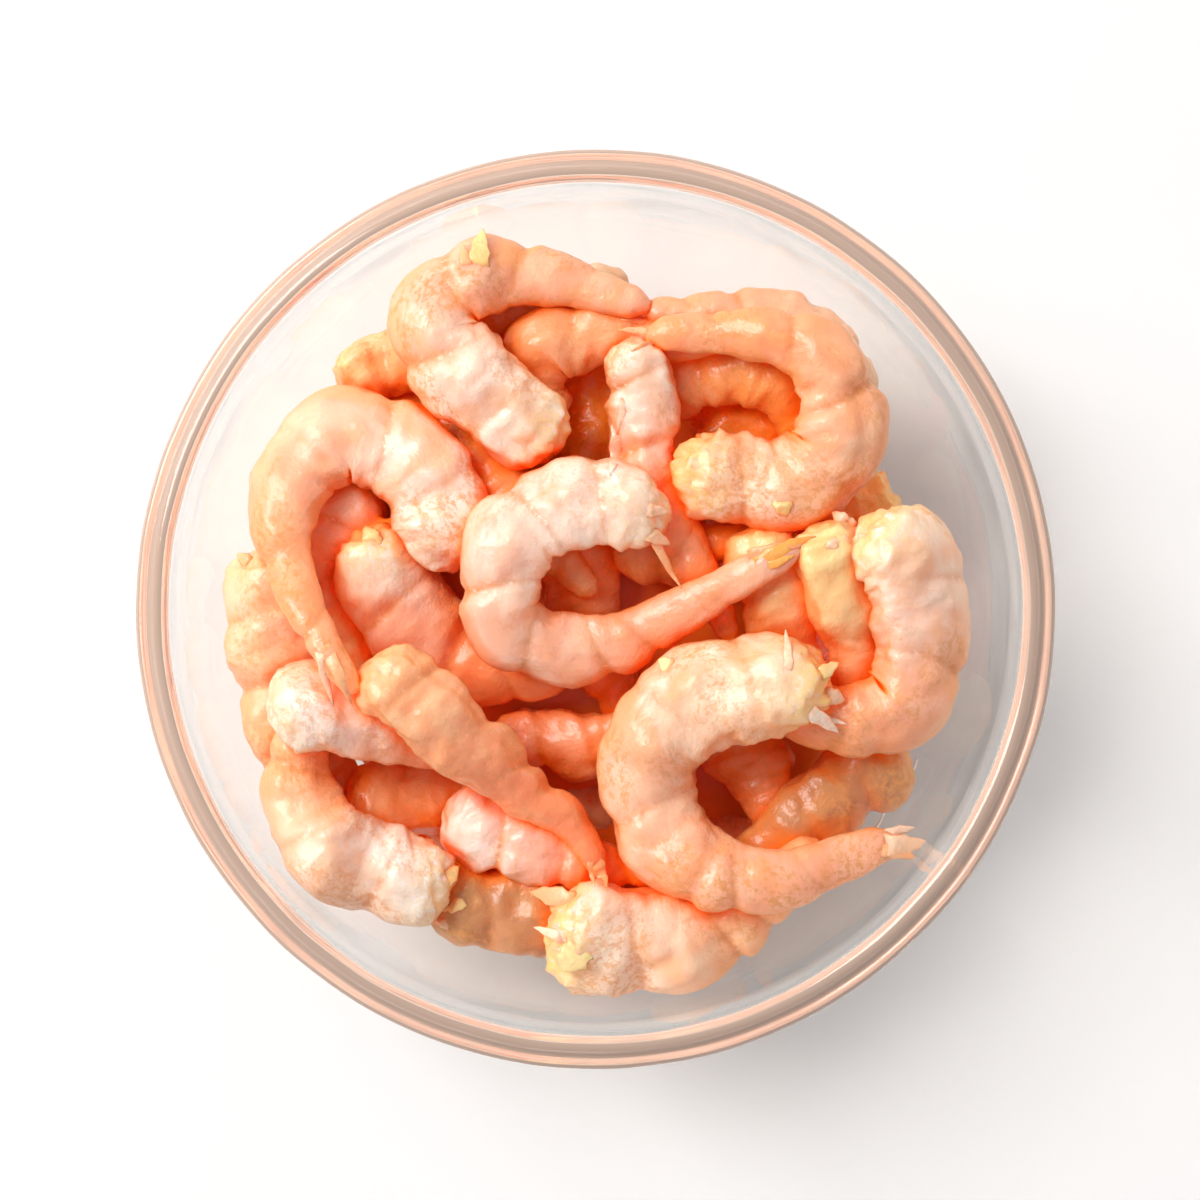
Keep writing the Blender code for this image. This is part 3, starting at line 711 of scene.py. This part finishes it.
# The shrimp that show
# The same peeled shrimp, each one where it lies in the photo's view from above: the deepest half of
# its body, its colour at the head and at the tail, its pigment, its yellow scraps, and the middle
# line of its body from the cut head end to the tail, from the lowest to the topmost.
SHRIMP = {
    "under_left_top": (5.0, ORANGE, ORANGE, 0.8, 0.2, ((-1, 38), (0, 29), (-1, 20), (-4, 11), (-6, 2))),
    "under_ring_left": (5.5, PINK, SALMON, 0.3, 0.0, ((-3, 13), (-2, 4), (0, -5), (4, -14), (9, -22))),
    "under_ring_right": (5.5, SALMON, SALMON, 0.4, 0.0, ((3, 12), (10, 9), (18, 9.5), (27, 14))),
    "inside_left_curl": (5.5, WHITE, YELLOW, 0.4, 0.0, (
        (-31, 16), (-37, 13.5), (-40, 7), (-38.5, -2), (-34, -10), (-26, -15))),
    "inside_right_curl": (5.0, ORANGE, ORANGE, 0.9, 0.2, ((15, 24), (21, 27), (27, 25), (31, 19))),
    "round_right_curl": (5.5, PEACH, ORANGE, 0.9, 0.2, (
        (9, 29), (14, 34), (21, 35), (27, 32), (30, 25), (29, 16))),
    "inside_low_curl": (6.6, SALMON, SALMON, 0.5, 0.0, ((17, -13), (21.5, -20), (25, -27), (27, -33.5))),
    # This one and low_wall take the dusky tone: painted shade where the heap shades them
    "low_right_wall": (6.0, DUSKY_IN_SHADE, DUSKY_IN_SHADE, 0.9, 0.2, (
        (45, -21), (39, -24.5), (32, -29), (24, -35), (15, -39))),
    "right_cross": (5.5, ORANGE, ORANGE, 0.5, 0.6, (
        (41.5, 19.5), (37, 15), (31, 11.5), (23, 9.5), (14, 10))),
    "right_inner": (6.0, YELLOW, PEACH, 0.2, 0.3, (
        (24, 12), (25.5, 4), (28.5, -4), (31.5, -12), (34, -20))),
    "right_outer": (6.0, YELLOW, PEACH, 0.3, 0.2, ((32, 12), (35, 4), (38, -4), (38, -12), (37, -21))),
    "middle_cross": (5.0, PINK, SALMON, 0.3, 0.0, (
        (-15, -18.5), (-6, -19.5), (4, -19.3), (14, -17), (24, -13))),
    "low_wall": (6.0, DUSKY_IN_SHADE, DUSKY_IN_SHADE, 0.9, 0.2, (
        (-24, -41.5), (-17, -43), (-9, -44), (2, -44), (12, -41))),
    "upper_cross": (5.6, SALMON, PEACH, 0.4, 0.1, (
        (-7, 26), (-9.3, 31.5), (-8, 37), (-2.5, 39.7), (5, 39.5), (12, 38.8), (19, 39))),
    "upper_left_wall": (4.8, PEACH, PEACH, 0.9, 0.3, (
        (-37, 32), (-32.5, 35), (-26.5, 36.5), (-20.5, 35), (-15, 31), (-11, 25))),
    "left_middle": (5.5, PEACH, SALMON, 0.5, 0.0, (
        (-21, 26), (-16.5, 20.5), (-12, 14.5), (-6, 8), (0, 2))),
    "upper_right_wall": (5.0, CREAM, PINK, 0.4, 0.1, (
        (38, 28), (35, 34.5), (29, 40), (22, 42.5), (14, 43), (7, 43.5))),
    "left_wall": (6.3, CREAM, PEACH, 0.6, 0.3, (
        (-46.3, 8), (-47.2, 0), (-46.3, -8), (-46, -17), (-43, -25), (-37, -31))),
    "low_left_cross": (5.5, PEACH, SALMON, 0.6, 0.1, (
        (-36, -27), (-28, -28), (-19, -28), (-10, -30), (0, -35))),
    "left_yellow": (7.3, WHITE, SALMON, 0.2, 0.9, (
        (-32, 12), (-30, 4), (-25.5, -2.5), (-18.5, -7.5), (-11, -9), (-4, -8), (2, -6))),
    "low_cross": (5.8, MILK, CORAL, 0.3, 0.1, (
        (-21.5, -29), (-15, -32), (-8, -35), (0, -37), (10, -38.5))),
    "low_front": (8.0, WHITE, PEACH, 0.8, 0.9, (
        (-6.5, -46.5), (3, -47.5), (12, -47.3), (20, -44), (27, -39), (33, -34))),
    "low_left_curl": (6.8, MILK, PEACH, 0.6, 0.6, (
        (-21, -39.3), (-29, -38.6), (-36.3, -35.6), (-41.3, -30.4), (-43, -23.5), (-41, -16), (-35, -11))),
    "left_short": (6.6, MILK, PINK, 0.7, 0.3, (
        (-46.5, -15), (-40.5, -14.3), (-34.5, -15.3), (-28, -17.5), (-21, -20), (-15, -22))),
    "upper_straight": (5.0, WHITE, SALMON, 0.7, 0.2, (
        (5.5, 39), (7, 30), (7, 21), (11, 12.5), (16, 4), (20, -5))),
    "right_curl": (7.2, WHITE, SALMON, 0.9, 0.7, (
        (39, 12), (44.5, 6.5), (46.8, -1), (46.5, -9), (43, -14.7), (35, -16), (26, -13.5), (17, -12))),
    "left_pointed": (5.8, PEACH, CORAL, 0.25, 0.2, (
        (-33, -8.5), (-25.5, -13.5), (-17.5, -20), (-10, -26.5), (-3.5, -31), (1, -38.5))),
    "upper_left_curl": (6.8, WHITE, PINK, 0.9, 0.6, (
        (-5, 24.5), (-12, 28.5), (-18.5, 34), (-22.6, 40.5), (-20.3, 46.2), (-12, 48.4), (-3, 47),
        (8, 43.6))),
    "left_curl": (7.2, WHITE, SALMON, 0.9, 0.2, (
        (-21.5, 6), (-22.5, 14), (-27.5, 22), (-36, 25), (-43, 20.5), (-45.2, 12), (-43.2, 4),
        (-39.2, -4.5), (-34, -12))),
    "right_ring": (6.8, CREAM, SALMON, 0.8, 0.8, (
        (12, 21), (19, 19), (27, 18.5), (33.3, 21.5), (35, 28), (32.7, 35), (27, 38.7),
        (17, 39.8), (7, 39.5))),
    "low_right_curl": (7.6, CREAM, PINK, 0.8, 0.9, (
        (33, -11.8), (24, -11.3), (15.5, -13.3), (9, -19), (8, -27), (11.5, -34), (19, -38.3),
        (27, -38.8), (35, -36.3), (44, -33))),
    "middle_ring": (6.5, WHITE, PINK, 0.4, 0.4, (
        (10, 12.5), (3, 14.8), (-4, 14.6), (-10.5, 11.2), (-13.5, 5), (-12.5, -2), (-6, -5.5),
        (3, -5), (12, -0.5), (21, 4.7), (30, 9.3))),
}
TOP_COUNT = 12             # the last ones of the table lie on top and are made finest
TOP_GRID = (150, 54)
UNDER_GRID = (110, 40)
FIRST_PATTERN = 20
SLIM_TAILS = {"left_curl": 0.74, "middle_ring": 0.88, "left_pointed": 0.85, "right_ring": 0.92}

under = Heap("shrimp_under_the_top_ones")
top = Heap("topmost_shrimp")
for number, (name, row) in enumerate(SHRIMP.items()):
    half_depth, head, tail, speckle, residue, points = row
    laid = lay(pile, points, half_depth)
    heap, grid = (top, TOP_GRID) if number >= len(SHRIMP) - TOP_COUNT else (under, UNDER_GRID)
    tail_width = SLIM_TAILS.get(name, 1.0)
    skin = shrimp_skin(laid, half_depth, *grid, FIRST_PATTERN + number, residue, tail_width)
    heap.add(skin, (head, tail), speckle, residue)

# Where one shrimp hides another the light has passed through flesh, and the flesh looks orange: this gap
# shade is painted into the colour
HIDE_REACH = 14.0
HIDE_RAYS = 30
HIDE_START = 0.3           # a ray starts this far off the skin
HIDE_GRAZING = 0.08        # and isn't cast where it would only graze it
HIDE_OPEN = 0.18           # this much is hidden by the body's own curl and still looks open
HIDE_FULL = 0.85
HIDE_MOST = 0.95
# Painted side shade: skin facing up by less than the start is painted orange, up to the most
SIDE_SHADE_START = 0.80        # skin that faces up by less than this looks orange, as light comes through it
SIDE_SHADE_MOST = 0.85
SMOOTHING = 3
FLESH_LIGHT_DEPTH = 0.009


def sphere_directions(count):
    """Directions spread evenly all round."""
    turn = math.pi * (3 - math.sqrt(5))
    out = []
    for i in range(count):
        z = 1 - (2 * i + 1) / count
        flat = math.sqrt(1 - z * z)
        out.append(Vector((flat * math.cos(turn * i), flat * math.sin(turn * i), z)))
    return out


def painted_gap_shade_amount(tree, mesh, rays):
    """How much of what each point faces is flesh close by, from 0 to 1, evened out along the skin, made
    into the amount of painted gap shade.
    """
    size = len(mesh.vertices)
    share = np.zeros(size)
    directions = sphere_directions(rays)
    for i, vertex in enumerate(mesh.vertices):
        normal = vertex.normal
        start = vertex.co + normal * (HIDE_START * MM)
        seen = 0.0
        blocked = 0.0
        for direction in directions:
            facing = normal.dot(direction)
            if facing > HIDE_GRAZING:
                seen += facing
                if tree.ray_cast(start, direction, HIDE_REACH * MM)[0] is not None:
                    blocked += facing
        share[i] = blocked / max(seen, 1e-6)
    ends = np.empty(2 * len(mesh.edges), int)
    mesh.edges.foreach_get("vertices", ends)
    first, second = ends[::2], ends[1::2]
    links = np.bincount(ends, minlength=size)
    for _ in range(SMOOTHING):
        total = np.bincount(first, share[second], size) + np.bincount(second, share[first], size)
        share = (share + total / links) / 2
    return HIDE_MOST * np.clip((share - HIDE_OPEN) / (HIDE_FULL - HIDE_OPEN), 0, 1)


wet_flesh = raw_flesh("raw_shrimp_flesh", FLESH_LIGHT_DEPTH)
heaps = [heap.piece() for heap in (lower, under, top)]
corners = []
polygons = []
for piece in heaps:
    polygons += [tuple(len(corners) + i for i in polygon.vertices) for polygon in piece.data.polygons]
    corners += [vertex.co.copy() for vertex in piece.data.vertices]
skins = BVHTree.FromPolygons(corners, polygons)


def shade(piece):
    """Writes each point's painted gap shade, from how hidden it is, and its painted side shade, from how
    far it is turned away.
    """
    mesh = piece.data
    painted_gap_shade = painted_gap_shade_amount(skins, mesh, HIDE_RAYS)
    mesh.attributes["painted_gap_shade"].data.foreach_set("value", painted_gap_shade)
    normals = np.empty(3 * len(mesh.vertices))
    mesh.vertex_normals.foreach_get("vector", normals)
    # Painted side shade, from how far each point's normal turns from straight up
    painted_side_shade = SIDE_SHADE_MOST * np.clip(SIDE_SHADE_START - normals[2::3], 0, 1)
    mesh.attributes["turned"].data.foreach_set("value", painted_side_shade)


for piece in heaps:
    shade(piece)
    dress(piece, wet_flesh)

# Torn scraps and tail fans
# Where the heads, shells and tail fans were pulled off, thin scraps of skin and flesh stay on. Each is
# a tapered flake or strand that grows out of the flesh at its root and lies on what is below it.

# Place of the root, direction in degrees, length, width, colour
SCRAPS = (
    (-16.8, 50.0, 78, 5.0, 3.6, YELLOW),
    (-18.4, 49.6, 100, 3.2, 1.8, PEACH),
    (-38.5, -7.0, -58, 7.5, 2.2, PEACH),
    (-39.5, -6.0, -70, 8.0, 1.6, CREAM),
    (8.5, 12.2, -64, 10.0, 1.6, PEACH),
    (8.0, 11.0, -35, 3.2, 2.6, CREAM),
    (7.5, 14.2, -12, 3.0, 2.2, CREAM),
    (24.5, 6.7, 24, 8.0, 2.4, ORANGE),
    (23.5, 7.6, 14, 6.0, 1.6, SALMON),
    (24.5, 5.8, 32, 4.5, 1.4, ORANGE),
    (7.8, 39.6, 175, 4.6, 1.3, SALMON),
    (7.5, 41.0, 165, 4.0, 1.0, PEACH),
    (8.5, 38.4, 195, 3.6, 1.0, SALMON),
    (3.0, 25.5, -103, 6.5, 2.6, WHITE),
    (3.6, 30.0, -97, 5.0, 1.4, WHITE),
    (36.0, 12.6, 150, 2.4, 2.6, CREAM),
    (34.8, 9.5, 205, 2.0, 2.0, CREAM),
    (26.9, -8.5, 88, 5.6, 1.5, CREAM),
    (32.2, -9.0, 22, 3.0, 2.4, YELLOW),
    (33.2, -12.5, -20, 2.6, 3.2, CREAM),
    (30.5, -15.2, -32, 5.0, 2.6, WHITE),
    (31.6, -15.6, -8, 4.6, 1.2, WHITE),
    (10.6, -8.4, 150, 2.0, 2.8, YELLOW),
    (27.0, 15.4, -75, 2.2, 3.4, YELLOW),
    (42.0, -33.4, -8, 6.4, 3.6, CREAM),
    (41.5, -34.6, -22, 5.2, 2.4, PEACH),
    (42.5, -32.6, 12, 3.8, 1.6, WHITE),
    (-3.2, -49.6, 238, 3.0, 5.6, YELLOW),
    (-4.6, -47.2, 168, 4.5, 1.8, CREAM),
    (-4.2, -42.4, 168, 5.5, 3.8, PEACH),
    (-21.6, -38.8, 40, 2.4, 2.8, YELLOW),
    (-21.0, -42.6, -15, 2.4, 3.2, YELLOW),
    (-22.6, -45.0, -58, 2.0, 2.0, CREAM),
    (-50.0, 6.8, 150, 2.4, 2.6, PEACH),
    (0.0, -36.6, -62, 4.2, 2.4, PEACH),
    (-0.6, -36.4, -78, 3.4, 1.2, PEACH),
    (-32.5, 9.8, 110, 2.4, 3.4, YELLOW),
)
SCRAP_STEPS = 9
SCRAP_SIDES = 12
SCRAP_ROOT = 1.6           # how far the root reaches back into the flesh
SCRAP_THICK = 0.22         # thickness as a share of the width
SCRAP_THINNEST = 0.14
SCRAP_FALL = 0.6           # how steeply a free end comes down
SCRAP_SUNK = 0.5           # how deep the root lies in the flesh
SCRAP_BOW = 0.10
SCRAP_RAGGED = 0.15
SCRAP_PATTERN_STEP = 31.0
SCRAP_LIGHT_DEPTH = 0.0008
ABOVE_ALL = 80.0           # a height over everything in the bowl


def surface_height(x, y, missing):
    """Height of the flesh at a place, seen from above."""
    hit = skins.ray_cast(Vector((x * MM, y * MM, ABOVE_ALL * MM)), Vector((0, 0, -1)))[0]
    return missing if hit is None else hit.z / MM


def scrap_skin(x, y, degrees, length, width, shift):
    """The skin of one scrap: a flat tapered lobe with an uneven edge, laid out from its root."""
    ahead = np.array((math.cos(math.radians(degrees)), math.sin(math.radians(degrees))))
    aside = np.array((-ahead[1], ahead[0]))
    along = np.linspace(-SCRAP_ROOT, length, SCRAP_STEPS)
    share = np.clip(along / length, 0, 1)
    half = width / 2 * (1 - share ** 1.6) * (0.8 + 0.4 * share) + 0.08
    thick = np.maximum(SCRAP_THICK * half, SCRAP_THINNEST)
    level = surface_height(x, y, CREST_HEIGHT - RIM_DEPTH)
    turn = np.linspace(0, 2 * math.pi, SCRAP_SIDES, endpoint=False)
    rows = []
    for step, (at, wide, tall) in enumerate(zip(along, half, thick)):
        bow = SCRAP_BOW * length * math.sin(1.7 * at / length + shift)
        middle = np.array((x, y)) + ahead * at + aside * bow
        ground = surface_height(*middle, -1.0)
        if at > 0:
            level = max(ground + 0.6 * tall, level - SCRAP_FALL * (along[1] - along[0]))
        ragged = 1 + SCRAP_RAGGED * np.sin(2.3 * step + 2.0 * shift + np.sign(np.cos(turn)) * 1.3)
        out = wide * np.cos(turn) * ragged
        up = tall * np.sin(turn)
        spot = middle[None, :] + aside[None, :] * out[:, None]
        rows.append(np.column_stack((spot, level - (SCRAP_SUNK if at <= 0 else 0) + up)))
    points = np.vstack([rows[0].mean(axis=0)] + rows + [rows[-1].mean(axis=0)])
    faces = []
    for i in range(SCRAP_SIDES):
        j = (i + 1) % SCRAP_SIDES
        faces.append((0, 1 + j, 1 + i))
        for row in range(SCRAP_STEPS - 1):
            a = 1 + row * SCRAP_SIDES
            faces.append((a + i, a + j, a + SCRAP_SIDES + j, a + SCRAP_SIDES + i))
        a = 1 + (SCRAP_STEPS - 1) * SCRAP_SIDES
        faces.append((a + i, a + j, len(points) - 1))
    zero = np.zeros(len(points))
    facts = {"share": zero, "back": zero + 0.5, "groove": zero, "head": zero + 0.4,
             "grain": points + SCRAP_PATTERN_STEP * shift}
    return points, faces, facts


torn = Heap("torn_scraps_and_tail_fans")
for number, (x, y, degrees, length, width, tone) in enumerate(SCRAPS):
    torn.add(scrap_skin(x, y, degrees, length, width, number), (tone, tone), 0.4, 0.2)
scraps = torn.piece()
shade(scraps)
dress(scraps, raw_flesh("thin_torn_flesh", SCRAP_LIGHT_DEPTH))

# The wet edge on the glass
# Juice that drained off the shrimp stands in a thin bead where the flesh rests on the wall; its bright
# whitish colour is a painted highlight.
# It follows the wall at nearly one height.
JUICE_LEVEL = 22.9
JUICE_HALF_WIDTH = 0.38
JUICE_ENDS = (-41.0, -25.0)  # degrees round the bowl, from the right-hand side
JUICE_STEPS = 40
JUICE_SIDES = 10
JUICE_HIGHLIGHT_WHITES = ((1.0, 0.93, 0.86, 1), (1.0, 1.0, 0.98, 1))


def bead_of_juice(name):
    """A tapered bead along the inner wall, a little thicker here and thinner there."""
    turn = np.linspace(0, 2 * math.pi, JUICE_SIDES, endpoint=False)
    points = []
    for share in np.linspace(0, 1, JUICE_STEPS):
        angle = math.radians(JUICE_ENDS[0] + (JUICE_ENDS[1] - JUICE_ENDS[0]) * share)
        thick = JUICE_HALF_WIDTH * math.sin(math.pi * (0.03 + 0.94 * share)) ** 0.4
        thick *= 0.8 + 0.3 * math.sin(17 * share) * math.sin(5 * share)
        level = JUICE_LEVEL + 0.5 * math.sin(9 * share)
        out = wall_radius(level) - 0.75 * thick + thick * np.cos(turn)
        points.append(np.column_stack((out * math.cos(angle), out * math.sin(angle),
                                       level + thick * np.sin(turn))))
    points = np.vstack(points)
    faces = [tuple(range(JUICE_SIDES))]
    for row in range(JUICE_STEPS - 1):
        for i in range(JUICE_SIDES):
            a = row * JUICE_SIDES + i
            b = row * JUICE_SIDES + (i + 1) % JUICE_SIDES
            faces.append((a, b, b + JUICE_SIDES, a + JUICE_SIDES))
    faces.append(tuple(range(len(points) - 1, len(points) - 1 - JUICE_SIDES, -1)))
    mesh = bpy.data.meshes.new(name)
    mesh.from_pydata((points * MM).tolist(), [], faces)
    mesh.shade_smooth()
    made = bpy.data.objects.new(name, mesh)
    bpy.context.scene.collection.objects.link(made)
    return made


def shrimp_juice():
    """Clouded shrimp juice, glossy where it catches the window, in a whitish colour that is a painted
    highlight.
    """
    finish, tree, juice = new_material("drained_juice_painted_highlight")
    place = add_node(tree, "ShaderNodeTexCoord")
    clouds = add_node(tree, "ShaderNodeTexNoise", Vector=place.outputs["Object"], Scale=260.0, Detail=2.0)
    colour = mix_colour(tree, clouds.outputs["Fac"], *JUICE_HIGHLIGHT_WHITES)
    tree.links.new(colour, juice.inputs["Base Color"])
    juice.inputs["Roughness"].default_value = 0.12
    juice.inputs["Coat Weight"].default_value = 1.0
    return finish


dress(bead_of_juice("bead_of_juice_at_the_wall"), shrimp_juice())

# The table, the light and the camera
# A plain white sweep, one large soft light from the upper left, pale light all round, and a long lens
# that looks straight down on the bowl.
PHOTO_PIXELS = 1200.0
PIXELS_PER_MM = 7.092      # at the height of the rim
BOWL_MIDDLE_PIXEL = (595.5, 609.2)
CAMERA_ABOVE_RIM = 900.0
SENSOR = 36.0
TABLE_HALF = 2.5
TABLE_DROP = 0.0002
WINDOW_DIRECTION = (-0.72, 0.50, 0.95)
WINDOW_DISTANCE = 1.15
WINDOW_SIZE = 0.6
WINDOW_POWER = 12.2
WINDOW_COLOUR = (1.0, 0.985, 0.965)
WALL_LIGHT = 1.5
CEILING_LIGHT = 0.40
NEAR_SHARE = 0.75          # the room is darker on the side below the photo

table_mesh = bpy.data.meshes.new("white_table")
table_corners = [(TABLE_HALF * x, TABLE_HALF * y, 0) for x, y in ((-1, -1), (1, -1), (1, 1), (-1, 1))]
table_mesh.from_pydata(table_corners, [], [(0, 1, 2, 3)])
table = bpy.data.objects.new("white_table", table_mesh)
table.location.z = -TABLE_DROP
bpy.context.scene.collection.objects.link(table)
paper, _, paper_shader = new_material("white_sweep")
paper_shader.inputs["Base Color"].default_value = (0.94, 0.94, 0.94, 1)
paper_shader.inputs["Roughness"].default_value = 0.8
paper_shader.inputs["Specular IOR Level"].default_value = 0.1
table_mesh.materials.append(paper)


def soft_light(name, direction, distance, size, power, colour):
    """A square soft box that looks at the bowl from a direction."""
    lamp = bpy.data.lights.new(name, "AREA")
    lamp.size = size
    lamp.energy = power
    lamp.color = colour
    holder = bpy.data.objects.new(name, lamp)
    toward = Vector(direction).normalized()
    holder.location = toward * distance
    holder.rotation_euler = (-toward).to_track_quat("-Z", "Y").to_euler()
    bpy.context.scene.collection.objects.link(holder)


soft_light("window_upper_left", WINDOW_DIRECTION, WINDOW_DISTANCE, WINDOW_SIZE, WINDOW_POWER, WINDOW_COLOUR)

world = bpy.data.worlds.new("pale_studio")
bpy.context.scene.world = world
world.use_nodes = True
sky = world.node_tree
sky_place = add_node(sky, "ShaderNodeTexCoord")
parts = add_node(sky, "ShaderNodeSeparateXYZ", Vector=sky_place.outputs["Generated"])
fall = add_node(sky, "ShaderNodeMapRange", Value=parts.outputs["Z"], From_Min=0.0, From_Max=0.6,
                To_Min=WALL_LIGHT, To_Max=CEILING_LIGHT)
near = add_node(sky, "ShaderNodeMapRange", Value=parts.outputs["Y"], From_Min=-1.0, From_Max=0.2,
                To_Min=NEAR_SHARE, To_Max=1.0)
strength = calculate(sky, "MULTIPLY", fall.outputs["Result"], near.outputs["Result"])
sky.nodes["Background"].inputs["Color"].default_value = (0.99, 0.99, 1.0, 1)
sky.links.new(strength, sky.nodes["Background"].inputs["Strength"])

lens = bpy.data.cameras.new("overhead_camera")
lens.sensor_width = SENSOR
lens.lens = SENSOR * CAMERA_ABOVE_RIM * PIXELS_PER_MM / PHOTO_PIXELS
camera = bpy.data.objects.new("overhead_camera", lens)
camera.location = (
    (PHOTO_PIXELS / 2 - BOWL_MIDDLE_PIXEL[0]) / PIXELS_PER_MM * MM,
    (BOWL_MIDDLE_PIXEL[1] - PHOTO_PIXELS / 2) / PIXELS_PER_MM * MM,
    (CREST_HEIGHT + CAMERA_ABOVE_RIM) * MM,
)
bpy.context.scene.collection.objects.link(camera)
bpy.context.scene.camera = camera
bpy.context.scene.view_settings.view_transform = "Standard"
bpy.context.scene.cycles.use_light_tree = False
bpy.context.scene.cycles.light_sampling_threshold = 0.05
bpy.context.scene.cycles.max_bounces = 12
bpy.context.scene.cycles.diffuse_bounces = 5
bpy.context.scene.cycles.glossy_bounces = 4
bpy.context.scene.cycles.transmission_bounces = 12
